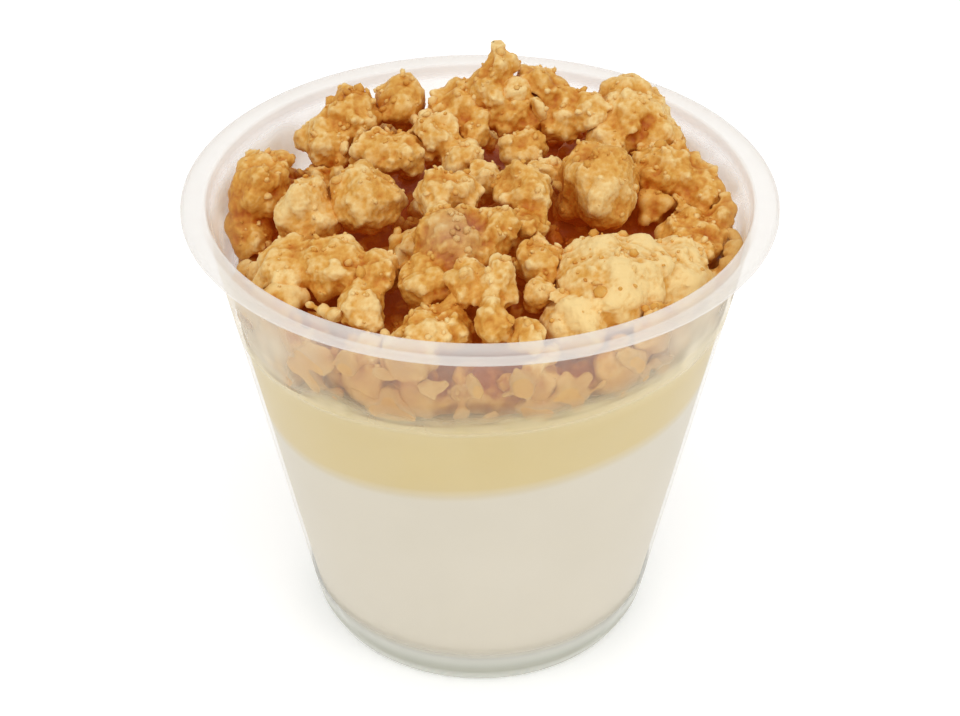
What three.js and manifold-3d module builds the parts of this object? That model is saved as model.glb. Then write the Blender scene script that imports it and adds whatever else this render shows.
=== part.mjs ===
// A mousse cup: a clear tapered plastic cup holding a pale mousse, a layer of yellow
// custard and a heap of baked crumble that stands above the rim.
// Millimetres, +Z up, origin on the cup's axis at the bottom of its foot.

import * as THREE from 'three';
import { mergeVertices } from 'three/addons/utils/BufferGeometryUtils.js';
import Module from 'manifold-3d';

const wasm = await Module();
wasm.setup();

// Cup
const cupHeight = 64.5;
const rimRadius = 38;
const rimInnerRadius = 34.7;
const lipDepth = 1.5;
const lipRounding = 0.45;
const wallTopRadius = 35.1;
const wallFootRadius = 23.6;
const wallThickness = 0.75;
const footHeight = 3.7;
const footRadius = 21.8;
const footWidth = 1.1;
const footDraft = 0.5;
const footCurve = [[-0.3, 0], [0.25, 0.4], [1.2, 1.9]];
const floorThickness = 0.9;
const floorRounding = 1;
const roundSides = 48;

// Contents
const gap = 0.3;
const mousseHeight = 38.4;
const mousseTilt = 0.108;
const custardHeight = 50;
const custardTilt = 0.05;
const custardDip = 1.5;
const bedHeight = 57.5;
const bedSlope = 0.05;
const bedFall = 2.5;
const surfaceRadius = 30;
const bedMargin = 1.6;
const faceRings = 2;
const heapRoom = 16;

// Crumble lumps
const bigLump = 9.1;
const smallLump = 5;
const wavePitches = [2.2, 3.1, 4.3];
const waveDepth = 0.075;
const chopCount = 6;
const chopReach = 0.86;
const chopSpread = 0.16;
const steepestChop = 0.3;
const depthSwell = 1.3;
const sideSwell = 1.08;
const swallowShare = 0.3;
const bedSeed = 500;

// Rings of smaller lumps in the crumble bed: how many, how far out, how high on average,
// how much the height varies, and how large they are.
const bedLumpRings = [
  { count: 17, radius: 29.6, height: 53.6, spread: 1.6, size: 7.2 },
  { count: 12, radius: 29.8, height: 58.4, spread: 1.4, size: 6.4 },
  { count: 8, radius: 23, height: 59, spread: 1.5, size: 6.6 },
  { count: 4, radius: 12, height: 59.5, spread: 1.5, size: 6 },
];

const floorTop = footHeight + floorThickness;
const contentsBottom = floorTop + floorRounding;
const lipUnderside = cupHeight - lipDepth;
const wallSlope = (wallTopRadius - wallFootRadius) / (lipUnderside - footHeight);

const outerWall = (z) => wallFootRadius + wallSlope * (z - footHeight);
const innerWall = (z) => outerWall(z) - wallThickness;

// Height of the surface between mousse and custard, of the custard's top, which dips
// towards the left, and of the crumble bed's bare top.
const mousseTop = (x) => mousseHeight + mousseTilt * x;
const custardTop = (x) => custardHeight + custardTilt * x - custardDip * Math.min(0, x / surfaceRadius) ** 4;
const bedTop = (x, y) => bedHeight + bedSlope * y - bedFall * (Math.hypot(x, y) / surfaceRadius) ** 4;

function seededRandom(seed) {
  let state = seed * 2654435761 >>> 0;
  return () => {
    state = (state + 0x6d2b79f5) >>> 0;
    let mixed = Math.imul(state ^ (state >>> 15), 1 | state);
    mixed = (mixed + Math.imul(mixed ^ (mixed >>> 7), 61 | mixed)) ^ mixed;
    return ((mixed ^ (mixed >>> 14)) >>> 0) / 4294967296;
  };
}

function positionOnly(geometry) {
  geometry.deleteAttribute('normal');
  geometry.deleteAttribute('uv');
  return mergeVertices(geometry, 1e-4);
}

function toSolid(geometry) {
  const merged = positionOnly(geometry);
  const mesh = new wasm.Mesh({
    numProp: 3,
    vertProperties: Float32Array.from(merged.attributes.position.array),
    triVerts: Uint32Array.from(merged.index.array),
  });
  return new wasm.Manifold(mesh);
}

function toGeometry(solid) {
  const mesh = solid.getMesh();
  const geometry = new THREE.BufferGeometry();
  geometry.setAttribute('position', new THREE.BufferAttribute(mesh.vertProperties, 3));
  geometry.setIndex(new THREE.BufferAttribute(mesh.triVerts, 1));
  geometry.computeVertexNormals();
  return geometry;
}

const union = (solids) => solids.reduce((joined, solid) => joined.add(solid));

function largestPiece(solid) {
  const pieces = solid.decompose();
  return pieces.reduce((best, piece) => (piece.volume() > best.volume() ? piece : best));
}

// The cup's half section turned round its axis: foot ring, tapered wall, rolled lip with a
// flat top, inner wall and raised floor.
function cupGeometry() {
  const ringInner = footRadius - footWidth;
  const profile = [
    [0, footHeight],
    [ringInner + footDraft, footHeight],
    [ringInner, 0],
    ...footCurve.map(([outward, z]) => [footRadius + outward, z]),
    [wallFootRadius, footHeight],
    [wallTopRadius, lipUnderside],
    [rimRadius - lipRounding, lipUnderside],
    [rimRadius, lipUnderside + lipRounding],
    [rimRadius, cupHeight - lipRounding],
    [rimRadius - lipRounding, cupHeight],
    [rimInnerRadius, cupHeight],
    [innerWall(lipUnderside), lipUnderside],
    [innerWall(floorTop + floorRounding), floorTop + floorRounding],
    [innerWall(floorTop) - floorRounding, floorTop],
    [0, floorTop],
  ];
  const lathe = new THREE.LatheGeometry(profile.map(([r, z]) => new THREE.Vector2(r, z)), roundSides);
  lathe.rotateX(Math.PI / 2);
  return positionOnly(lathe);
}

// A layer that fills the cup between two height functions: rings of points on each face,
// with the outer ring on the tapered wall less a margin.
function layerGeometry(bottom, top, margin, rings) {
  const positions = [];
  const faces = [];
  const edgeRadius = (height, angle) => {
    let radius = innerWall(height(0, 0)) - margin;
    for (let pass = 0; pass < 6; pass += 1) {
      radius = innerWall(height(radius * Math.cos(angle), radius * Math.sin(angle))) - margin;
    }
    return radius;
  };
  const addFace = (height, turned) => {
    const start = positions.length / 3;
    positions.push(0, 0, height(0, 0));
    for (let ring = 1; ring <= rings; ring += 1) {
      for (let side = 0; side < roundSides; side += 1) {
        const angle = 2 * Math.PI * side / roundSides;
        const radius = edgeRadius(height, angle) * ring / rings;
        const [x, y] = [radius * Math.cos(angle), radius * Math.sin(angle)];
        positions.push(x, y, height(x, y));
      }
    }
    const at = (ring, side) => (ring === 0 ? start : start + 1 + (ring - 1) * roundSides + side % roundSides);
    const push = (a, b, c) => faces.push(...(turned ? [a, c, b] : [a, b, c]));
    for (let side = 0; side < roundSides; side += 1) {
      push(start, at(1, side), at(1, side + 1));
      for (let ring = 1; ring < rings; ring += 1) {
        push(at(ring, side), at(ring + 1, side), at(ring + 1, side + 1));
        push(at(ring, side), at(ring + 1, side + 1), at(ring, side + 1));
      }
    }
    return (side) => at(rings, side);
  };
  const low = addFace(bottom, true);
  const high = addFace(top, false);
  for (let side = 0; side < roundSides; side += 1) {
    faces.push(low(side), low(side + 1), high(side + 1));
    faces.push(low(side), high(side + 1), high(side));
  }
  const geometry = new THREE.BufferGeometry();
  geometry.setAttribute('position', new THREE.Float32BufferAttribute(positions, 3));
  geometry.setIndex(faces);
  return geometry;
}

function lumpSphere(size, seed) {
  if (size < smallLump || seed >= bedSeed) return new THREE.DodecahedronGeometry(1);
  return new THREE.IcosahedronGeometry(1, size > bigLump ? 2 : 1);
}

// One baked lump: a sphere stretched to its size, waved by a few sines and chopped by
// planes, so that it is uneven and partly angular. grow makes it larger all round.
function lump([x, y, z, width, depth, height], seed, grow = 0) {
  const geometry = positionOnly(lumpSphere(Math.max(width, depth, height), seed));
  const random = seededRandom(seed);
  const direction = () => new THREE.Vector3(random() - 0.5, random() - 0.5, random() - 0.5).normalize();
  const waves = wavePitches.map((pitch) => ({ along: direction().multiplyScalar(pitch), start: 6 * random() }));
  const chopAt = () => chopReach + chopSpread * random();
  const chops = Array.from({ length: chopCount }, () => ({ along: direction(), reach: chopAt() }));
  const points = geometry.attributes.position;
  const point = new THREE.Vector3();
  const half = new THREE.Vector3(sideSwell * width, depthSwell * depth, sideSwell * height).multiplyScalar(0.5);
  for (let i = 0; i < points.count; i += 1) {
    point.fromBufferAttribute(points, i).normalize();
    let reach = 1;
    for (const { along, start } of waves) reach += waveDepth * Math.sin(2 * point.dot(along) + start);
    for (const chop of chops) {
      reach = Math.min(reach, chop.reach / Math.max(steepestChop, point.dot(chop.along)));
    }
    const outward = point.clone();
    point.multiply(half).multiplyScalar(reach).addScaledVector(outward, grow);
    points.setXYZ(i, point.x + x, point.y + y, point.z + z);
  }
  return toSolid(geometry);
}

// The separate crumble clumps. Each is one or more lumps baked together, given as
// centre x, y, z and width, depth, height. The first ones keep their whole shape, and
// the later ones are cut back where they meet them.
const clumps = {
  front_right_slab: [
    [16, -16.8, 61, 13, 12, 9.6],
    [23, -12.5, 58.9, 10.5, 12, 8.2],
    [11.5, -22, 58.8, 8, 8, 7.4],
  ],
  right_ball: [[15.2, 2, 63.7, 9.2, 8.8, 10.8]],
  back_right: [[20, 18, 66.1, 9, 9, 7.6], [17.4, 15, 63.6, 7.6, 8, 7], [23.2, 15, 63.4, 7.6, 7, 7]],
  left_wall: [[-28.4, 5, 61.3, 8, 9, 8.6], [-29.6, 2.5, 56, 6.4, 8, 8], [-26.3, 9, 63.2, 3.6, 3.6, 3.4]],
  left_smooth: [[-21.8, -1.5, 61, 7.8, 7.5, 9.8]],
  left_middle: [[-14.7, -1, 63.3, 8.8, 8, 8.8]],
  front_left: [
    [-23.7, -12.2, 59.4, 8.2, 9, 7.5],
    [-17.6, -13.4, 61, 8.4, 8, 6.6],
    [-12.6, -15, 61.2, 5.2, 6, 5.6],
    [-14.2, -20, 59.6, 5.8, 6, 5.4],
  ],
  back_left: [[-17.2, 16, 65.9, 7.4, 8, 7.2], [-20, 13, 63.8, 6.8, 7, 6.8], [-22.8, 15, 63.8, 3.8, 4, 4.2]],
  back_left_ball: [[-10.5, 19, 66.8, 6.5, 6.6, 6.9]],
  back_spike: [[2.6, 18.8, 72, 4, 4.4, 6.6], [1.6, 18, 69, 6.4, 5.4, 6.4], [4.3, 17, 66.2, 8.6, 6.5, 6.6]],
  back_middle: [[-3, 18, 66.6, 7.2, 7, 6.8], [-0.4, 14.8, 65.2, 5.6, 5.6, 5.4]],
  back_shoulder: [
    [8, 19.3, 68.3, 7.4, 7, 6.8],
    [10.9, 16.5, 65.8, 7, 6, 6.8],
    [14.2, 15.6, 66.4, 5.2, 5.4, 6.2],
  ],
  centre_left: [[-13.6, 10, 64.3, 6.4, 6.6, 6.2], [-9.9, 8.6, 64.4, 5.4, 5.6, 5.4]],
  centre_pale: [[-6.2, 12, 65, 6.8, 6.4, 6.2], [-2.5, 8, 64.2, 5.2, 5.4, 5]],
  centre_shard: [[5.6, 11, 64, 6, 5, 5]],
  right_upper: [[24.6, 8, 62.4, 8.8, 8, 7.2], [28.8, 5.6, 60, 6.8, 7, 8]],
  right_lower: [[27, -2.6, 57.7, 9, 9, 7.6], [31, 2, 58, 4.8, 6, 7.6]],
  centre_stone: [[5.8, -2, 65, 7.2, 6.6, 6.4], [5.4, -8, 62.9, 5.6, 5.8, 5.8]],
  small_stone: [[8.6, 5.6, 63.6, 4.6, 4.6, 4]],
  middle_top: [[-5, -2.8, 64.8, 5.7, 6, 5.8], [-2.1, -2, 65, 4.6, 5, 5.6]],
  middle_chip: [[0.6, -2, 65.8, 4.2, 4, 5.4], [0.6, 3, 63.6, 5, 5, 4.4]],
  middle_main: [
    [-3.2, -11.6, 63.5, 10, 8.6, 8.2],
    [1.6, -10.6, 63.6, 6.4, 6, 7.4],
    [-6.4, -17, 61, 6.8, 7, 6.8],
  ],
  front_pillar: [
    [-1.6, -18.6, 62, 6, 5.6, 6.4],
    [2, -20, 62.4, 4.6, 5, 6.6],
    [1.6, -25, 60.6, 4.2, 4.6, 5.4],
  ],
  front_stone: [[7.2, -14.2, 61.8, 6.2, 5.6, 5.6], [7.4, -19.4, 60.8, 4.6, 4.6, 4.8]],
  front_chips: [[-6.4, -25.2, 59.4, 6.6, 5.6, 4.6], [-3.2, -23, 58.6, 5.8, 5.8, 5]],
  front_small: [[5.6, -26.4, 59.6, 4.4, 4.6, 4.4]],
};

function clumpSolids(innerSpace) {
  const underBed = toSolid(layerGeometry(() => contentsBottom, (x, y) => bedTop(x, y) + 2 * gap, 0, faceRings));
  const solids = [];
  const carvers = [];
  Object.entries(clumps).forEach(([name, lumps], clumpNumber) => {
    const make = (grow) => union(lumps.map((size, i) => lump(size, 10 * clumpNumber + i + 1, grow)));
    let solid = make(0).intersect(innerSpace).subtract(underBed);
    for (const carver of carvers) solid = solid.subtract(carver);
    solids.push({ name: `crumble_${name}`, solid: largestPiece(solid) });
    carvers.push(make(gap + 0.1));
  });
  return { solids, carvers };
}

// The rest of the crumble: a core over the custard with smaller lumps fused on, in rings
// against the wall, where they show through the plastic, and between the clumps. A lump
// that a clump would swallow is left out, and the others are cut back from the clumps.
function bedSolid(carvers, innerSpace) {
  const clumpLumps = Object.values(clumps).flat();
  const swallowed = ([x, y, z, width]) => clumpLumps.some(([cx, cy, cz, clumpWidth]) => (
    Math.hypot(x - cx, y - cy, z - cz) < swallowShare * (width + clumpWidth)
  ));
  const lumps = [];
  const addRing = ({ count, radius, height, spread, size }) => {
    const random = seededRandom(Math.round(radius + height));
    for (let i = 0; i < count; i += 1) {
      const angle = 2 * Math.PI * (i + 0.5 * random()) / count;
      const [across, tall] = [size * (0.8 + 0.4 * random()), size * (0.8 + 0.4 * random())];
      const z = height + spread * (random() - 0.5);
      const place = [radius * Math.cos(angle), radius * Math.sin(angle), z, across, across, tall];
      if (!swallowed(place)) lumps.push(lump(place, bedSeed + i + Math.round(10 * radius)));
    }
  };
  bedLumpRings.forEach(addRing);
  let bumps = union(lumps);
  for (const carver of carvers) bumps = bumps.subtract(carver);
  const core = toSolid(layerGeometry(custardTop, bedTop, bedMargin, faceRings));
  const custard = toSolid(layerGeometry(() => contentsBottom, (x) => custardTop(x) + gap, 0, faceRings));
  return largestPiece(core.add(bumps).intersect(innerSpace).subtract(custard));
}

const looks = {
  cup: { color: 0xf4f2ee, roughness: 0.35, transparent: true, opacity: 0.45 },
  mousse: { color: 0xefe9da, roughness: 0.6 },
  custard: { color: 0xecd596, roughness: 0.5 },
  crumble: { color: 0xd9a866, roughness: 0.8 },
};

const cupGroup = new THREE.Group();

function addMesh(name, geometry, look) {
  const material = new THREE.MeshStandardMaterial({ metalness: 0, ...looks[look] });
  const mesh = new THREE.Mesh(geometry, material);
  mesh.name = name;
  cupGroup.add(mesh);
}

const innerSpace = toSolid(layerGeometry(() => contentsBottom, () => cupHeight + heapRoom, gap, 1));
const { solids, carvers } = clumpSolids(innerSpace);
addMesh('cup', cupGeometry(), 'cup');
addMesh('mousse', layerGeometry(() => contentsBottom + gap, mousseTop, gap, 1), 'mousse');
addMesh('custard', layerGeometry((x) => mousseTop(x) + gap, custardTop, gap, faceRings), 'custard');
addMesh('crumble_bed', toGeometry(bedSolid(carvers, innerSpace)), 'crumble');
for (const { name, solid } of solids) addMesh(name, toGeometry(solid), 'crumble');

export default cupGroup;
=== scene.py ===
"""A clear plastic cup of pale mousse and yellow custard, heaped with baked crumble."""
import math

import bpy
import numpy as np
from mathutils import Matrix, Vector
from mathutils.bvhtree import BVHTree


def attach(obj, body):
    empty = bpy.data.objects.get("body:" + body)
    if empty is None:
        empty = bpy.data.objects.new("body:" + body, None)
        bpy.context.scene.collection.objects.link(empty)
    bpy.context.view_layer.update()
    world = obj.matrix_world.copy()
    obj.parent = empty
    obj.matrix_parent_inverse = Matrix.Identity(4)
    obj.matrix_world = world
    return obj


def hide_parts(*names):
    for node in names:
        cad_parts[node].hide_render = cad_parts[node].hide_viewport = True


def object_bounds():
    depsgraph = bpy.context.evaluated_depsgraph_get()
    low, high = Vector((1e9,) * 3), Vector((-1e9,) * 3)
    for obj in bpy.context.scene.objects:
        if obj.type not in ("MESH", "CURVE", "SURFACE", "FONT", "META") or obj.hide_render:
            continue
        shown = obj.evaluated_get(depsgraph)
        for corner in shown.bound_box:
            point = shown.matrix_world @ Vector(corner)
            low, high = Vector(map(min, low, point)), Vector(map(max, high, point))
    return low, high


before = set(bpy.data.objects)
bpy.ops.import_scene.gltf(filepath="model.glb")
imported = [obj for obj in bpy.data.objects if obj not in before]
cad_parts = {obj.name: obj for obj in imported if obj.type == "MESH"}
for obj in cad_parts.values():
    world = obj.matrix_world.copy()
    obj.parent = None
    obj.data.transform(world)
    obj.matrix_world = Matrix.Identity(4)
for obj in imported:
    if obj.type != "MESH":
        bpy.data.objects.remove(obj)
cad_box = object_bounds()
bpy.ops.object.select_all(action="DESELECT")

MM = 0.001

# The cup, in millimetres, as its solid has it
CUP_HEIGHT = 64.5
RIM_RADIUS = 38.0
RIM_INNER_RADIUS = 34.7
LIP_DEPTH = 1.5
WALL_TOP_RADIUS = 35.1
WALL_FOOT_RADIUS = 23.6
WALL_THICKNESS = 0.75
FOOT_HEIGHT = 3.7
FOOT_RADIUS = 21.8
FOOT_WIDTH = 1.1
FLOOR_TOP = FOOT_HEIGHT + 0.9
MOUSSE_BOTTOM = FLOOR_TOP + 0.5
CUP_STEPS = 192

# The mousse and the custard: heights on the axis, slopes towards +x, the custard's dip at the
# left, its rise at the wall, and how far both reach into the wall
MOUSSE_HEIGHT = 38.4
MOUSSE_TILT = 0.108
CUSTARD_HEIGHT = 50.0
CUSTARD_TILT = 0.05
CUSTARD_DIP = 1.5
SURFACE_RADIUS = 30.0
EDGE_RISE = 0.3
EDGE_RADIUS = 32.0
SINK_IN_WALL = 0.25
LAYER_STEPS = 160
LAYER_RINGS = 14
LAYER_SIDE_RINGS = 40

# The heap's limits: its top in metres, and how it is pressed against the wall
HEAP_TOP = cad_box[1].z - 0.0001
CRUMBLE_SINK = 0.4
WALL_CUSHION = 0.45 * MM

LIP_UNDERSIDE = CUP_HEIGHT - LIP_DEPTH
WALL_SLOPE = (WALL_TOP_RADIUS - WALL_FOOT_RADIUS) / (LIP_UNDERSIDE - FOOT_HEIGHT)


def outer_wall(z):
    return WALL_FOOT_RADIUS + WALL_SLOPE * (z - FOOT_HEIGHT)


def inner_wall(z):
    return outer_wall(z) - WALL_THICKNESS


# ---------------------------------------------------------------- shader maths


class Socket:
    """A shader value that Python's operators work on."""

    def __init__(self, tree, link):
        self.tree = tree
        self.link = link

    def _math(self, operation, *values):
        return self.tree.node("ShaderNodeMath", {"operation": operation}, dict(enumerate(values)))

    def __add__(self, other):
        return self._math("ADD", self, other)

    def __radd__(self, other):
        return self._math("ADD", other, self)

    def __sub__(self, other):
        return self._math("SUBTRACT", self, other)

    def __rsub__(self, other):
        return self._math("SUBTRACT", other, self)

    def __mul__(self, other):
        return self._math("MULTIPLY", self, other)

    def __rmul__(self, other):
        return self._math("MULTIPLY", other, self)

    def __truediv__(self, other):
        return self._math("DIVIDE", self, other)

    def clamped(self):
        return self._math("MINIMUM", self._math("MAXIMUM", self, 0.0), 1.0)

    def power(self, exponent):
        return self._math("POWER", self, exponent)


class Material:
    """A node material whose nodes all come from one method."""

    def __init__(self, name):
        self.material = bpy.data.materials.new(name)
        self.material.use_nodes = True
        self.nodes = self.material.node_tree.nodes
        self.links = self.material.node_tree.links
        self.nodes.clear()

    def node(self, kind, settings=None, values=None, output=0):
        made = self.nodes.new(kind)
        for key, value in (settings or {}).items():
            if key == "stops":
                self._stops(made.color_ramp, value)
            else:
                setattr(made, key, value)
        for key, value in (values or {}).items():
            if isinstance(value, Socket):
                self.links.new(value.link, made.inputs[key])
            else:
                made.inputs[key].default_value = value
        return Socket(self, made.outputs[output])

    @staticmethod
    def _stops(ramp, stops):
        while len(ramp.elements) < len(stops):
            ramp.elements.new(1.0)
        for element, (place, tint) in zip(ramp.elements, stops):
            element.position = place
            element.color = (*tint, 1.0)

    def place(self):
        return self.node("ShaderNodeTexCoord", output=3)

    def place_along(self, axis):
        return self.node("ShaderNodeSeparateXYZ", None, {"Vector": self.place()}, output="XYZ".index(axis))

    def noise(self, scale, detail=3.0, rough=0.55):
        values = {"Vector": self.place(), "Scale": scale, "Detail": detail, "Roughness": rough}
        return self.node("ShaderNodeTexNoise", None, values)

    def ramp(self, value, stops):
        """A ramp whose stops are places with 0-255 screen colours, or with plain numbers."""
        linear = [(at, colour(*c)[:3] if isinstance(c, tuple) else (c, c, c)) for at, c in stops]
        return self.node("ShaderNodeValToRGB", {"stops": linear}, {"Fac": value})

    def mix(self, factor, first, second):
        values = {0: factor, 6: first, 7: second}
        return self.node("ShaderNodeMix", {"data_type": "RGBA"}, values, output=2)

    def attribute(self, name):
        return self.node("ShaderNodeAttribute", {"attribute_name": name}, output=2)

    def bump(self, height, strength, distance):
        values = {"Height": height, "Strength": strength, "Distance": distance}
        return self.node("ShaderNodeBump", None, values)

    def surface(self, **values):
        named = {key.replace("_", " "): value for key, value in values.items()}
        shader = self.node("ShaderNodeBsdfPrincipled", None, named)
        out = self.nodes.new("ShaderNodeOutputMaterial")
        self.links.new(shader.link, out.inputs["Surface"])
        return self.material


def colour(red, green, blue):
    """A colour given in 0-255 screen values, as linear light."""
    def linear(value):
        value /= 255
        return value / 12.92 if value <= 0.04045 else ((value + 0.055) / 1.055) ** 2.4
    return (linear(red), linear(green), linear(blue), 1.0)


# ---------------------------------------------------------------- materials


# Colours in 0-255 screen values
CREAM_FILM = (240, 226, 192)
CUSTARD_FILM = (222, 204, 156)
CUSTARD_COLOUR = (210, 187, 123)
# The custard's painted sheen, near its top
CUSTARD_PALER = (219, 198, 138)
CUSTARD_SHEEN_PAINT = (232, 216, 172)
MOUSSE_COLOUR = (214, 206, 186)
MOUSSE_PALER = (224, 216, 198)
MOUSSE_BLEED = (219, 211, 192)
# Painted side light: the paler gold of crumble near the clear wall
CRUMBLE_WALL_LIGHT_PAINT = (214, 174, 108)
# Painted bounce light: the amber glow of the deep gaps
PAINTED_GAP_GLOW = (116, 46, 6)

# Where the cream film on the wall starts and how soon it is full, out from the middle, in metres
FILM_START = 0.017
FILM_RUN = 0.009
# Over how many millimetres the film along the custard's edge fades
EDGE_FILM = 8
# Over how many millimetres the layers blend into each other
LAYER_BLEED = 1.1
# How far right of the axis the custard's painted sheen is at full strength, in millimetres
SHEEN_FULL_SIDE = 25

# A pale lobe of the middle clump: its centre and its reach, in metres
PALE_LOBE = (-0.0032, -0.0135, 0.0654)
PALE_LOBE_REACH = 0.0045
PALE_LOBE_COLOUR = (196, 160, 128)


def cup_plastic():
    """Clear polypropylene: clearest where the contents wet it, milkier above them, at the
    rolled rim and the foot, and where it is seen edge on."""
    m = Material("cup_plastic")
    up, sideways = m.place_along("Z"), m.place_along("X")
    height = up / (CUP_HEIGHT * MM)
    zones = m.ramp(height, [
        (0.0, 0.6), (0.08, 0.62), (0.115, 0.1), (0.76, 0.07),
        (0.85, 0.1), (0.965, 0.15), (0.985, 0.5), (1.0, 0.44),
    ])
    # The foot's greenish grey, darkest just under the mousse, is partly the thick plastic's own tint and
    # partly painted shade
    tint = m.ramp(height, [
        (0.0, (220, 221, 209)),
        (0.03, (214, 214, 201)),
        (0.043, (190, 190, 173)),
        (0.055, (198, 198, 182)),
        (0.07, (222, 222, 210)),
        (0.13, (247, 242, 235)),
        (0.74, (247, 242, 235)),
        (0.8, (244, 226, 192)),
        (0.92, (246, 230, 204)),
        (0.965, (247, 242, 235)),
    ])
    cloud = m.noise(170.0, 1.0)
    scuffs = m.noise(300.0, 1.0)
    edge = m.node("ShaderNodeLayerWeight", None, {"Blend": 0.3}, output=1)

    out = m.node("ShaderNodeMath", {"operation": "ABSOLUTE"}, {0: sideways})
    aside = ((out - FILM_START) / FILM_RUN).clamped()
    above_custard = m.ramp(height, [(0.77, 0.0), (0.81, 1.0), (0.93, 1.0), (0.975, 0.0)])
    cream = (aside * above_custard * (0.5 + 1.6 * (cloud - 0.45))).clamped()

    over_custard = (up - CUSTARD_HEIGHT * MM - CUSTARD_TILT * sideways) / (EDGE_FILM * MM) + 0.5
    band = m.ramp(over_custard, [(0.38, 0.0), (0.5, 0.6), (0.66, 0.58), (0.8, 0.2), (1.0, 0.0)])
    custard = (band * (0.55 + 2.2 * (cloud - 0.4))).clamped()

    tint = m.mix(cream, tint, colour(*CREAM_FILM))
    return m.surface(
        Base_Color=m.mix((2 * custard).clamped(), tint, colour(*CUSTARD_FILM)),
        Roughness=0.16 + 0.12 * scuffs,
        IOR=1.49,
        Alpha=(zones + 0.06 * (cloud - 0.5) + 0.5 * cream + custard + 0.5 * edge.power(3.0)).clamped(),
        Normal=m.bump(scuffs, 0.1, 0.00005),
    )


def mousse_cream():
    m = Material("mousse_cream")
    clouds = m.noise(70.0, 4.0)
    grain = m.noise(110.0, 1.0)
    tint = m.mix(clouds, colour(*MOUSSE_COLOUR), colour(*MOUSSE_PALER))
    bleed = 0.5 * (1 - m.attribute("below_top") / LAYER_BLEED).clamped()
    tint = m.mix(bleed, tint, colour(*CUSTARD_COLOUR))
    return m.surface(
        Base_Color=tint,
        Roughness=0.5 + 0.2 * clouds,
        Normal=m.bump(grain, 0.15, 0.0004),
    )


def custard_cream():
    m = Material("custard_cream")
    clouds = m.noise(90.0, 4.0)
    grain = m.noise(100.0, 1.0)
    tint = m.mix(clouds, colour(*CUSTARD_COLOUR), colour(*CUSTARD_PALER))
    bleed = 0.5 * (1 - m.attribute("above_bottom") / LAYER_BLEED).clamped()
    tint = m.mix(bleed, tint, colour(*MOUSSE_BLEED))
    aside = m.place_along("X") / (SHEEN_FULL_SIDE * MM)
    # Painted sheen: the custard is painted lighter near its top, more strongly towards the right, where
    # more light falls
    sheen = ((0.3 + 0.6 * aside.clamped()) * (1 - m.attribute("below_top") / (3 * LAYER_BLEED))).clamped()
    tint = m.mix(sheen, tint, colour(*CUSTARD_SHEEN_PAINT))
    return m.surface(
        Base_Color=tint,
        Roughness=0.4 + 0.2 * clouds,
        Normal=m.bump(grain, 0.15, 0.0004),
    )


def baked_crumble():
    """Buttery golden crumble with painted light and shade: paler on its raised grains, darker in its
    creases, amber to brown down in the gaps.
    """
    m = Material("baked_crumble")
    rise, tone, sunk = m.attribute("rise"), m.attribute("tone"), m.attribute("sunk")
    patches = m.noise(210.0, 3.0)
    fine = m.noise(2200.0, 4.0, 0.65)
    uneven = 1.1 * (patches - 0.5) + 0.3 * (fine - 0.5)
    # Painted light and shade: rise paints highlights on grains and shade in creases, sunk paints shade in
    # the gaps; patches and tone are the crumble's own uneven colour
    light = (0.54 + 0.24 * rise + uneven + tone - 0.42 * sunk).clamped()
    tint = m.ramp(light, [
        (0.0, (168, 72, 4)),
        (0.2, (188, 98, 14)),
        (0.42, (208, 134, 42)),
        (0.66, (229, 171, 78)),
        (1.0, (251, 218, 150)),
    ])
    # Painted side light: crumble near the clear wall is painted a paler, even gold, as if lit through the
    # wall
    tint = m.mix(0.65 * m.attribute("damp"), tint, colour(*CRUMBLE_WALL_LIGHT_PAINT))
    away = {0: m.place(), 1: PALE_LOBE}
    lobe = 1 - m.node("ShaderNodeVectorMath", {"operation": "DISTANCE"}, away, output=1) / PALE_LOBE_REACH
    tint = m.mix(0.75 * lobe.clamped(), tint, colour(*PALE_LOBE_COLOUR))
    return m.surface(
        Base_Color=tint,
        Roughness=0.4 + 0.3 * fine,
        Specular_IOR_Level=0.3,
        # Painted bounce light: the deep gaps glow amber, as if lit by light passed between the crumbs
        Emission_Color=m.mix(sunk.clamped(), colour(0, 0, 0), colour(*PAINTED_GAP_GLOW)),
        Emission_Strength=0.4,
        Normal=m.bump(fine, 0.45, 0.0002),
    )


def pale_floor():
    m = Material("pale_floor")
    return m.surface(
        Base_Color=colour(252, 252, 252),
        Roughness=0.7 + 0.1 * m.noise(30.0),
        Emission_Color=colour(255, 255, 255),
        Emission_Strength=0.35,
    )


# ---------------------------------------------------------------- mesh helpers


def only(piece):
    bpy.ops.object.select_all(action="DESELECT")
    piece.select_set(True)
    bpy.context.view_layer.objects.active = piece


def new_piece(name, vertices, edges, faces):
    mesh = bpy.data.meshes.new(name)
    mesh.from_pydata(vertices, edges, faces)
    piece = bpy.data.objects.new(name, mesh)
    bpy.context.scene.collection.objects.link(piece)
    only(piece)
    return piece


def points_of(mesh):
    points = np.empty(len(mesh.vertices) * 3, np.float32)
    mesh.vertices.foreach_get("co", points)
    return points.reshape(-1, 3).astype(float)


def normals_of(mesh):
    normals = np.empty(len(mesh.vertices) * 3, np.float32)
    mesh.vertices.foreach_get("normal", normals)
    return normals.reshape(-1, 3).astype(float)


def edges_of(mesh):
    edges = np.empty(len(mesh.edges) * 2, np.int32)
    mesh.edges.foreach_get("vertices", edges)
    return edges.reshape(-1, 2)


def move_points(mesh, points):
    mesh.vertices.foreach_set("co", points.astype(np.float32).ravel())
    mesh.update()


def set_attribute(mesh, name, values):
    attribute = mesh.attributes.get(name) or mesh.attributes.new(name, "FLOAT", "POINT")
    attribute.data.foreach_set("value", np.asarray(values, np.float32))


def apply_modifier(piece, kind, **settings):
    only(piece)
    modifier = piece.modifiers.new(kind.lower(), kind)
    for key, value in settings.items():
        setattr(modifier, key, value)
    bpy.ops.object.modifier_apply(modifier=modifier.name)


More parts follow.
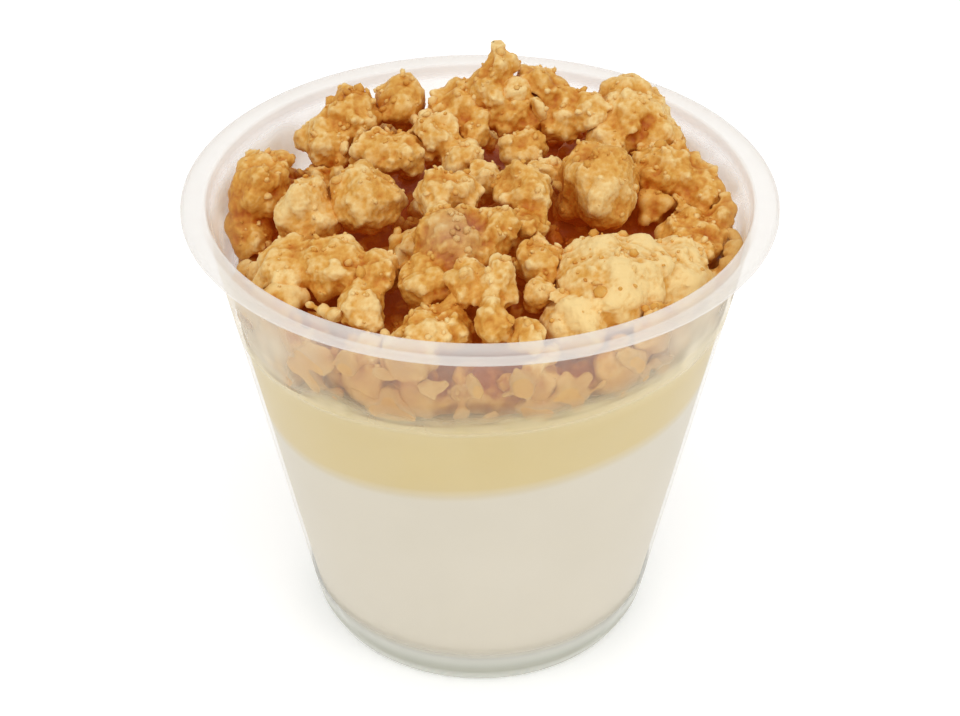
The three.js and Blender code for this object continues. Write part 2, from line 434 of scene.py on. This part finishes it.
def shade_smooth(piece, degrees=None):
    only(piece)
    if degrees is None:
        bpy.ops.object.shade_smooth()
    else:
        bpy.ops.object.shade_smooth_by_angle(angle=math.radians(degrees))


def finish_piece(piece, material, node):
    piece.data.materials.clear()
    piece.data.materials.append(material)
    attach(piece, "root")
    if node:
        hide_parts(node)


# ---------------------------------------------------------------- the cup and its layers


def arc(centre, radius, start, end, steps):
    """Points of an arc in the half section, angles in degrees from the +r axis."""
    turns = np.radians(np.linspace(start, end, steps + 1))
    return [(centre[0] + radius * math.cos(t), centre[1] + radius * math.sin(t)) for t in turns]


def spun(name, profile, steps):
    """A profile in (radius, height), millimetres, spun round the axis and closed."""
    vertices = [(r * MM, 0, z * MM) for r, z in profile]
    edges = [(i, i + 1) for i in range(len(vertices) - 1)]
    piece = new_piece(name, vertices, edges, [])
    bpy.ops.object.mode_set(mode="EDIT")
    bpy.ops.mesh.select_all(action="SELECT")
    bpy.ops.mesh.spin(steps=steps, angle=2 * math.pi, center=(0, 0, 0), axis=(0, 0, 1))
    bpy.ops.mesh.select_all(action="SELECT")
    bpy.ops.mesh.remove_doubles(threshold=1e-6)
    bpy.ops.mesh.normals_make_consistent(inside=False)
    bpy.ops.object.mode_set(mode="OBJECT")
    return piece


def make_cup(material):
    ring_inner = FOOT_RADIUS - FOOT_WIDTH
    lip_round = 0.7
    inner_round = 0.45
    profile = [
        (0, FOOT_HEIGHT),
        (ring_inner - 0.4, FOOT_HEIGHT),
        (ring_inner + 0.3, FOOT_HEIGHT - 0.4),
        (ring_inner, 0.3),
        (ring_inner + 0.2, 0.05),
        (ring_inner + 0.5, 0),
        (FOOT_RADIUS - 0.3, 0),
        (FOOT_RADIUS + 0.1, 0.15),
        (FOOT_RADIUS + 0.5, 0.6),
        (FOOT_RADIUS + 1.0, 1.5),
        (WALL_FOOT_RADIUS - 0.25, 2.7),
        (WALL_FOOT_RADIUS, FOOT_HEIGHT),
        (outer_wall(30), 30),
        (outer_wall(LIP_UNDERSIDE - 0.6), LIP_UNDERSIDE - 0.6),
        (outer_wall(LIP_UNDERSIDE) + 0.3, LIP_UNDERSIDE - 0.1),
        (outer_wall(LIP_UNDERSIDE) + 0.9, LIP_UNDERSIDE),
    ]
    lip_centre = (RIM_RADIUS - lip_round, CUP_HEIGHT - lip_round)
    profile += arc((lip_centre[0], LIP_UNDERSIDE + 0.5), 0.5, -90, 0, 4)[:-1]
    profile += [(RIM_RADIUS - 0.05, LIP_UNDERSIDE + 0.6)]
    profile += arc(lip_centre, lip_round, 0, 90, 6)
    profile += [(RIM_INNER_RADIUS + 1.6, CUP_HEIGHT - 0.12)]
    profile += arc((RIM_INNER_RADIUS + inner_round, CUP_HEIGHT - inner_round), inner_round, 90, 180, 5)
    profile += [
        (inner_wall(LIP_UNDERSIDE), LIP_UNDERSIDE - 0.3),
        (inner_wall(30), 30),
        (inner_wall(FLOOR_TOP + 2), FLOOR_TOP + 2),
        (inner_wall(FLOOR_TOP + 1) - 0.25, FLOOR_TOP + 0.8),
        (inner_wall(FLOOR_TOP) - 1.1, FLOOR_TOP + 0.1),
        (inner_wall(FLOOR_TOP) - 2.2, FLOOR_TOP),
        (0, FLOOR_TOP),
    ]
    cup = spun("cup_shell", profile, CUP_STEPS)
    shade_smooth(cup, 40)
    finish_piece(cup, material, "cup")


def ripple(x, y, pitch, seed):
    """A smooth uneven height from a few sines, in -1..1."""
    random = np.random.default_rng(seed)
    total = 0
    for turn, start in zip(random.uniform(0, math.pi, 4), random.uniform(0, 6.3, 4)):
        total = total + np.sin((x * np.cos(turn) + y * np.sin(turn)) / pitch + start)
    return total / 4


def mousse_bottom(x, y):
    return np.full_like(x, MOUSSE_BOTTOM)


def mousse_top(x, y):
    return MOUSSE_HEIGHT + MOUSSE_TILT * x + 0.35 * ripple(x, y, 6, 3)


def custard_top(x, y):
    dip = CUSTARD_DIP * np.minimum(0, x / SURFACE_RADIUS) ** 4
    edge = EDGE_RISE * (np.hypot(x, y) / EDGE_RADIUS) ** 12 * (1 + 0.8 * ripple(x, y, 2.2, 5))
    return CUSTARD_HEIGHT + CUSTARD_TILT * x - dip + 0.5 * ripple(x, y, 3.2, 8) + edge


def make_layer(name, bottom, top, material, node):
    """A layer that fills the cup between two height functions and reaches into the wall."""
    low = [(i / LAYER_RINGS, 0) for i in range(LAYER_RINGS + 1)]
    side = [(1, i / LAYER_SIDE_RINGS) for i in range(1, LAYER_SIDE_RINGS)]
    high = [(i / LAYER_RINGS, 1) for i in range(LAYER_RINGS, -1, -1)]
    piece = spun(name, [(r / MM, z / MM) for r, z in low + side + high], LAYER_STEPS)
    points = points_of(piece.data)
    share = points[:, 2]
    reach = np.hypot(points[:, 0], points[:, 1])
    angle = np.arctan2(points[:, 1], points[:, 0])
    radius = np.full(len(points), SURFACE_RADIUS)
    for _ in range(8):  # the radius depends on the height and the height on the radius
        x, y = reach * radius * np.cos(angle), reach * radius * np.sin(angle)
        height = bottom(x, y) * (1 - share) + top(x, y) * share
        radius = inner_wall(height) + SINK_IN_WALL
    move_points(piece.data, np.stack([x, y, height], 1) * MM)
    set_attribute(piece.data, "below_top", top(x, y) - height)
    set_attribute(piece.data, "above_bottom", height - bottom(x, y))
    shade_smooth(piece, 50)
    finish_piece(piece, material, node)


# ---------------------------------------------------------------- the crumble


def smoothed(points, edges, rounds):
    """Points averaged with their neighbours, again and again."""
    count = np.bincount(edges.ravel(), minlength=len(points))[:, None]
    for _ in range(rounds):
        total = np.zeros_like(points)
        for axis in range(3):
            total[:, axis] = np.bincount(edges[:, 0], points[edges[:, 1], axis], len(points))
            total[:, axis] += np.bincount(edges[:, 1], points[edges[:, 0], axis], len(points))
        points = 0.5 * points + 0.5 * total / np.maximum(count, 1)
    return points


def bead_template():
    bpy.ops.mesh.primitive_ico_sphere_add(subdivisions=1, radius=1)
    bead = bpy.context.active_object
    points = points_of(bead.data)
    faces = [tuple(face.vertices) for face in bead.data.polygons]
    bpy.data.objects.remove(bead)
    return points, np.array(faces)


BEAD_POINTS, BEAD_FACES = bead_template()


def scattered_beads(places, directions, sizes, random):
    """Uneven little grains at the given places, as one array of points and one of faces."""
    count = len(places)
    stretch = random.uniform(0.6, 1.4, (count, 1, 3))
    turn = np.linalg.qr(random.normal(size=(count, 3, 3)))[0]
    knobs = 1 + 0.13 * random.normal(size=(count, len(BEAD_POINTS), 1))
    local = (BEAD_POINTS[None] * stretch * knobs) @ turn
    points = places[:, None] + directions[:, None] + local * sizes[:, None, None]
    faces = BEAD_FACES[None] + (np.arange(count) * len(BEAD_POINTS))[:, None, None]
    return points.reshape(-1, 3), faces.reshape(-1, 3)


# How each clump is finished: how knobbly it is, its grains on a square millimetre, and how
# pale it is against the others.
FINISHES = {
    "crumble_front_right_slab": (0.4, 0.12, 0.28),
    "crumble_right_ball": (0.35, 0.05, 0.02),
    "crumble_left_smooth": (0.35, 0.03, 0.1),
    "crumble_left_middle": (0.5, 0.05, 0.03),
    "crumble_back_left_ball": (0.4, 0.04, -0.04),
    "crumble_left_wall": (0.8, 0.12, -0.05),
    "crumble_front_left": (0.8, 0.08, 0.04),
    "crumble_middle_main": (1.0, 0.28, -0.06),
    "crumble_middle_top": (0.9, 0.2, 0.08),
    "crumble_front_pillar": (1.0, 0.35, 0.05),
    "crumble_centre_pale": (0.8, 0.2, 0.12),
    "crumble_right_upper": (1.1, 0.12, -0.06),
    "crumble_right_lower": (1.1, 0.12, -0.06),
    "crumble_back_right": (0.7, 0.08, 0.05),
    "crumble_bed": (0.9, 0.08, -0.06),
}
COMMON_FINISH = (0.95, 0.14, 0.0)

# Sizes of the remeshed faces, in metres
ROUGH_VOXEL = 0.38 * MM
CLUMP_VOXEL = 0.21 * MM
BED_VOXEL = 0.41 * MM
GAP_CRUMB_VOXEL = 0.34 * MM

# Relief of a clump and its grains, in millimetres
LUMP_RELIEF = 1.6
KNOB_RELIEF = 1.5
CRUST_RELIEF = 0.2
GRIT_RELIEF = 0.28
GRAIN_SIZE = 0.33
GRAIN_SPREAD = 0.55


def remeshed(piece, voxel):
    apply_modifier(piece, "REMESH", mode="VOXEL", voxel_size=voxel, adaptivity=0)


def noise_texture(name, kind, size):
    texture = bpy.data.textures.new(name, kind)
    texture.noise_scale = size
    return texture


LUMPS = noise_texture("crumble_lumps", "CLOUDS", 0.0034)
KNOBS = noise_texture("crumble_knobs", "VORONOI", 0.0026)
CRUST = noise_texture("crumble_crust", "VORONOI", 0.0011)
GRIT = noise_texture("crumble_grit", "CLOUDS", 0.0006)


def keep_inside_wall(points):
    """Flattens what meets the cup against its wall, softly and just inside the plastic."""
    limit = (inner_wall(points[:, 2] / MM) + CRUMBLE_SINK) * MM
    reach = np.hypot(points[:, 0], points[:, 1])
    pressed = -WALL_CUSHION * np.log(np.exp(-reach / WALL_CUSHION) + np.exp(-limit / WALL_CUSHION))
    over = np.where(points[:, 2] < CUP_HEIGHT * MM, pressed / reach.clip(1e-6), 1)
    points[:, :2] *= over[:, None]
    points[:, 2] = np.minimum(points[:, 2], HEAP_TOP)
    return points


# How far a point must stand out of its smoothed surface to count as 1, in metres, and the
# rounds of smoothing
RISE_UNIT = 0.14 * MM
RISE_LIMIT = 1.2
SOFT_ROUNDS = 16


def finish_crumble(piece, tone, material, node=None):
    """Presses crumble against the wall, smooths it there, and marks how far its grains stand out, for
    painted light on the grains and painted shade in the creases, both weaker at the wall.
    """
    points = keep_inside_wall(points_of(piece.data))
    move_points(piece.data, points)
    edges, normals = edges_of(piece.data), normals_of(piece.data)
    soft = smoothed(points, edges, SOFT_ROUNDS)
    near_wall = side_light(points / MM) ** 2
    # rise drives painted highlights on grains and painted shade in creases
    rise = ((points - soft) * normals).sum(1) / RISE_UNIT
    rise = rise.clip(-RISE_LIMIT, RISE_LIMIT) * (1 - 0.7 * near_wall)
    points += (soft - points) * near_wall[:, None]
    move_points(piece.data, points)
    set_attribute(piece.data, "rise", rise)
    set_attribute(piece.data, "tone", np.full(len(points), tone))
    shade_smooth(piece)
    finish_piece(piece, material, node)


def bake(node, number, material):
    """A crumble node made real: rounded, knobbly, strewn with grains and roughened."""
    knobbly, density, tone = FINISHES.get(node, COMMON_FINISH)
    voxel = BED_VOXEL if node == "crumble_bed" else CLUMP_VOXEL
    random = np.random.default_rng(100 + number)
    piece = bpy.data.objects.new(node + "_baked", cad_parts[node].data.copy())
    bpy.context.scene.collection.objects.link(piece)
    only(piece)
    bpy.ops.object.mode_set(mode="EDIT")
    bpy.ops.mesh.select_all(action="SELECT")
    bpy.ops.mesh.remove_doubles(threshold=1e-6)
    bpy.ops.object.mode_set(mode="OBJECT")
    remeshed(piece, ROUGH_VOXEL)
    apply_modifier(piece, "SMOOTH", factor=0.5, iterations=3)
    apply_modifier(piece, "DISPLACE", texture=LUMPS, strength=LUMP_RELIEF * MM, mid_level=0.36)
    apply_modifier(piece, "DISPLACE", texture=KNOBS, strength=-KNOB_RELIEF * knobbly * MM, mid_level=0.38)
    base, normals = points_of(piece.data), normals_of(piece.data)
    area = sum(face.area for face in piece.data.polygons) / MM ** 2
    patch = ripple(base[:, 0] / MM, base[:, 1] / MM + 0.7 * base[:, 2] / MM, 1.3, number) > -0.15
    able = np.flatnonzero(patch)
    count = min(int(density * area), len(able))
    chosen = random.choice(able, count, replace=False)
    sizes = GRAIN_SIZE * MM * np.exp(random.normal(0, GRAIN_SPREAD, count)).clip(0.45, 3.2)
    sunk = normals[chosen] * (sizes * random.uniform(-0.9, -0.1, count))[:, None]
    points, faces = scattered_beads(base[chosen], sunk, sizes, random)
    grains = new_piece(node + "_grains", points.tolist(), [], faces.tolist())
    only(piece)
    grains.select_set(True)
    bpy.ops.object.join()
    remeshed(piece, voxel)
    apply_modifier(piece, "SMOOTH", factor=0.5, iterations=1)
    apply_modifier(piece, "DISPLACE", texture=CRUST, strength=-CRUST_RELIEF * knobbly * MM, mid_level=0.4)
    apply_modifier(piece, "DISPLACE", texture=GRIT, strength=GRIT_RELIEF * MM, mid_level=0.5)
    finish_crumble(piece, tone, material, node)
    return piece


# The map of the heap's height: its cells and lowest level in millimetres, its cells a side, and
# its rounds of smoothing
MAP_CELL = 0.6
MAP_SIDE = 128
MAP_FLOOR = 52.0
MAP_ROUNDS = 14

# In millimetres: how deep in a gap the painted shade starts and how much deeper it is darkest, and how far
# in from the wall side light reaches
GAP_START = 1.0
GAP_DEPTH = 5.0
SIDE_LIGHT_REACH = 4.5


def map_cells(points):
    """Row and column of each point, in millimetres, in the map of the heap's plan."""
    cells = (points[:, :2] / MAP_CELL + MAP_SIDE / 2).astype(int).clip(0, MAP_SIDE - 1)
    return cells[:, 0], cells[:, 1]


def heap_height(pieces):
    """A soft map of the height of the heap's top, in millimetres, over its plan."""
    top = np.full((MAP_SIDE, MAP_SIDE), MAP_FLOOR)
    for piece in pieces:
        points = points_of(piece.data) / MM
        np.maximum.at(top, map_cells(points), points[:, 2])
    for _ in range(MAP_ROUNDS):
        for axis in (0, 1):
            top = (top + np.roll(top, 1, axis) + np.roll(top, -1, axis)) / 3
    return top


def side_light(points):
    """How near points are to the clear wall, where light comes in from the side."""
    inward = inner_wall(points[:, 2]) - np.hypot(points[:, 0], points[:, 1])
    near = 1 - inward / SIDE_LIGHT_REACH
    return np.where(points[:, 2] < LIP_UNDERSIDE, near.clip(0, 1), 0)


def mark_depth(pieces):
    """Writes how far each point lies below the heap's soft outline, for the painted shade and glow in the
    gaps, and how near it lies to the clear wall, for the painted side light there.
    """
    top = heap_height(pieces)
    for piece in pieces:
        points = points_of(piece.data) / MM
        below = ((top[map_cells(points)] - points[:, 2] - GAP_START) / GAP_DEPTH).clip(-0.3, 1.0)
        # sunk paints shade and an amber glow in the gaps, less near the clear wall
        set_attribute(piece.data, "sunk", below * (1 - side_light(points)))
        # Near the clear wall the crumble gets painted side light
        set_attribute(piece.data, "damp", side_light(points) ** 2)


def solid_trees(pieces):
    graph = bpy.context.evaluated_depsgraph_get()
    return [BVHTree.FromObject(piece, graph) for piece in pieces]


FALLEN_COUNT = 900
FALL_RADIUS = 31.5
FALL_FROM = 0.09


def fallen(trees, random):
    """Random places on top of the heap, in metres."""
    places = []
    out = FALL_RADIUS * np.sqrt(random.uniform(0, 1, FALLEN_COUNT))
    for reach, turn in zip(out, random.uniform(0, 2 * math.pi, FALLEN_COUNT)):
        start = Vector((reach * math.cos(turn) * MM, reach * math.sin(turn) * MM, FALL_FROM))
        hits = [tree.ray_cast(start, Vector((0, 0, -1)))[0] for tree in trees]
        tops = [hit.z for hit in hits if hit]
        if tops:
            places.append((start.x, start.y, max(tops)))
    return np.array(places)


# Crumbs that show in certain gaps, in millimetres
FILLERS = [
    (-18.9, -20.5, 59.0),
    (-17.4, -21.2, 58.6),
    (-20.6, -19.4, 59.2),
    (-11.4, -24, 58.0),
    (-10.4, -14, 60.4),
]
# The ring of crumbs at the wall: how many, its radius at the custard, how high above the custard
# they lie and how far from the wall, in millimetres
WALL_COUNT = 210
WALL_RING = 32.2
WALL_RISE = (-0.4, 7.0)
WALL_GAP = 0.5


def wall_places(random):
    """Random places along the inside of the wall, from the custard to the heap's foot."""
    turn = random.uniform(0, 2 * math.pi, WALL_COUNT)
    x, y = WALL_RING * np.cos(turn), WALL_RING * np.sin(turn)
    z = custard_top(x, y) + random.uniform(*WALL_RISE, WALL_COUNT)
    reach = (inner_wall(z) - WALL_GAP) / WALL_RING
    return np.stack([x * reach, y * reach, z], 1) * MM


# Crumbs fill a place this far below the heap's outline, or lower than this, in millimetres
GAP_LEAST = 1.3
LOW_PLACE = 57.5
GAP_CRUMB_SIZES = (0.7, 1.9)


def gap_crumbs(pieces, material):
    """Crumbs up to about 4 mm that fill the gaps between the clumps and at the wall."""
    random = np.random.default_rng(21)
    top = heap_height(pieces)
    places = fallen(solid_trees(pieces), random)
    below = top[map_cells(places / MM)] - places[:, 2] / MM
    low = (below > GAP_LEAST) | (places[:, 2] < LOW_PLACE * MM)
    places = np.concatenate([places[low], np.array(FILLERS) * MM, wall_places(random)])
    sizes = random.uniform(*GAP_CRUMB_SIZES, len(places)) * MM
    places[:, 2] += 0.35 * sizes
    points, faces = scattered_beads(places, np.zeros((len(places), 3)), sizes, random)
    crumbs = new_piece("gap_crumbs", points.tolist(), [], faces.tolist())
    remeshed(crumbs, GAP_CRUMB_VOXEL)
    apply_modifier(crumbs, "SMOOTH", factor=0.5, iterations=2)
    apply_modifier(crumbs, "DISPLACE", texture=KNOBS, strength=-0.5 * MM, mid_level=0.4)
    apply_modifier(crumbs, "DISPLACE", texture=GRIT, strength=0.4 * MM, mid_level=0.5)
    finish_crumble(crumbs, -0.02, material)
    return crumbs


LOOSE_SIZE = 0.28
LOOSE_SPREAD = 0.45


def loose_crumbs(pieces, material):
    """Small crumbs that lie on the heap where a straight fall would leave them."""
    random = np.random.default_rng(7)
    places = fallen(solid_trees(pieces), random)
    sizes = LOOSE_SIZE * MM * np.exp(random.normal(0, LOOSE_SPREAD, len(places))).clip(0.5, 2.6)
    places[:, 2] += 0.3 * sizes
    points, faces = scattered_beads(places, np.zeros((len(places), 3)), sizes, random)
    crumbs = new_piece("loose_crumbs", keep_inside_wall(points).tolist(), [], faces.tolist())
    set_attribute(crumbs.data, "rise", np.repeat(random.uniform(-0.4, 0.9, len(sizes)), len(BEAD_POINTS)))
    set_attribute(crumbs.data, "tone", np.full(len(points), 0.04))
    shade_smooth(crumbs)
    finish_piece(crumbs, material, None)
    return crumbs


# ---------------------------------------------------------------- stage


ROOM_LIGHT = 0.62
SKY_LIGHT = 1.75
SKY_SPREAD = 70
SKY_FROM = (-0.04, -0.36, 1.0)
LIT_HEIGHT = 0.04
EXPOSURE = -0.5


def area_light(name, place, size, power, tint):
    light = bpy.data.lights.new(name, "AREA")
    light.shape = "DISK"
    light.size = size
    light.energy = power
    light.color = tint
    lamp = bpy.data.objects.new(name, light)
    lamp.location = place
    lamp.rotation_euler = (Vector((0, 0, LIT_HEIGHT)) - Vector(place)).to_track_quat("-Z", "Y").to_euler()
    bpy.context.scene.collection.objects.link(lamp)


def make_stage():
    bpy.ops.mesh.primitive_plane_add(size=6)
    floor = bpy.context.active_object
    floor.name = "pale_floor"
    floor.data.materials.append(pale_floor())
    world = bpy.data.worlds.new("soft_room")
    world.use_nodes = True
    background = world.node_tree.nodes["Background"]
    background.inputs["Color"].default_value = (1, 1, 1, 1)
    background.inputs["Strength"].default_value = ROOM_LIGHT
    bpy.context.scene.world = world
    sky = bpy.data.lights.new("soft_sky", "SUN")
    sky.energy = SKY_LIGHT
    sky.angle = math.radians(SKY_SPREAD)
    lamp = bpy.data.objects.new("soft_sky", sky)
    lamp.rotation_euler = Vector(SKY_FROM).to_track_quat("Z", "Y").to_euler()
    bpy.context.scene.collection.objects.link(lamp)
    area_light("front_light", (0.42, -0.4, 0.42), 0.35, 0.78, (1, 0.99, 0.97))
    area_light("left_light", (-0.5, -0.22, 0.26), 0.3, 0.32, (1, 1, 0.99))
    area_light("back_light", (0.1, 0.6, 0.5), 0.5, 0.8, (1, 1, 1))


# The photograph's view, as fitted to the rim, the wall and the foot
CAMERA_BACK = 0.231
CAMERA_HEIGHT = 0.1991
AIM_HEIGHT = 0.0381
LENS = 78.5
SENSOR_WIDTH = 36


def make_camera():
    camera_data = bpy.data.cameras.new("photo_camera")
    camera_data.lens = LENS
    camera_data.sensor_width = SENSOR_WIDTH
    camera = bpy.data.objects.new("photo_camera", camera_data)
    camera.location = (0, -CAMERA_BACK, CAMERA_HEIGHT)
    aim = Vector((0, 0, AIM_HEIGHT)) - camera.location
    camera.rotation_euler = aim.to_track_quat("-Z", "Y").to_euler()
    bpy.context.scene.collection.objects.link(camera)
    bpy.context.scene.camera = camera


make_camera()
make_stage()
make_cup(cup_plastic())
make_layer("mousse_fill", mousse_bottom, mousse_top, mousse_cream(), "mousse")
make_layer("custard_fill", mousse_top, custard_top, custard_cream(), "custard")
crumble = baked_crumble()
crumble.cycles.emission_sampling = "NONE"  # its faint glow lights nothing else
crumble_nodes = sorted(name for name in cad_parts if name.startswith("crumble"))
baked = [bake(name, number, crumble) for number, name in enumerate(crumble_nodes)]
baked.append(gap_crumbs(baked, crumble))
baked.append(loose_crumbs(baked, crumble))
mark_depth(baked)

bpy.context.scene.view_settings.view_transform = "Standard"
bpy.context.scene.view_settings.exposure = EXPOSURE
